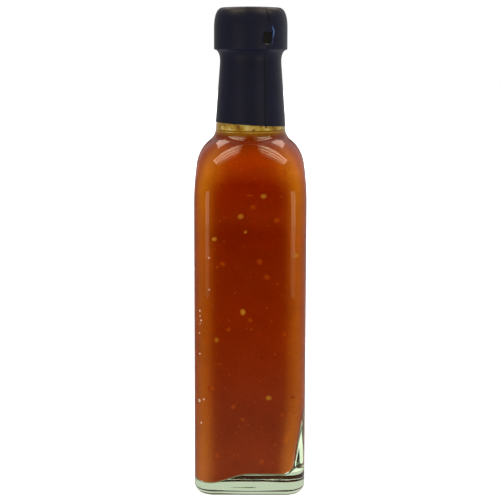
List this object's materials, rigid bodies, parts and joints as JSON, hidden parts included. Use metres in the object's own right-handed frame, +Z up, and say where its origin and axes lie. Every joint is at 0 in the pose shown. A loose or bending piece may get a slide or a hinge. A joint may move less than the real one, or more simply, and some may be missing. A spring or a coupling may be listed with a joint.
{
  "type": "hot sauce bottle",
  "caption": "Clear square glass bottle with round shoulders, filled with chilli sauce, closed by a cap under a black shrunk sleeve that covers the neck.",
  "frame": {"origin": "middle of the base, on the surface the bottle stands on", "axes": "+Z up along the bottle, -Y out of the front face, +X towards the side with the thicker glass"},
  "size_m": [0.0476, 0.0476, 0.208],
  "materials": {
    "glass": "clear moulded flint glass, pale green where thick",
    "sauce": "thick cloudy orange-red sauce with pale seeds",
    "cap": "plain black lacquer",
    "sleeve": "satin black shrink film"
  },
  "bodies": {
    "root": {"bottle": "glass", "sauce": "sauce", "cap": "cap", "sleeve": "sleeve"}
  },
  "joints": []
}
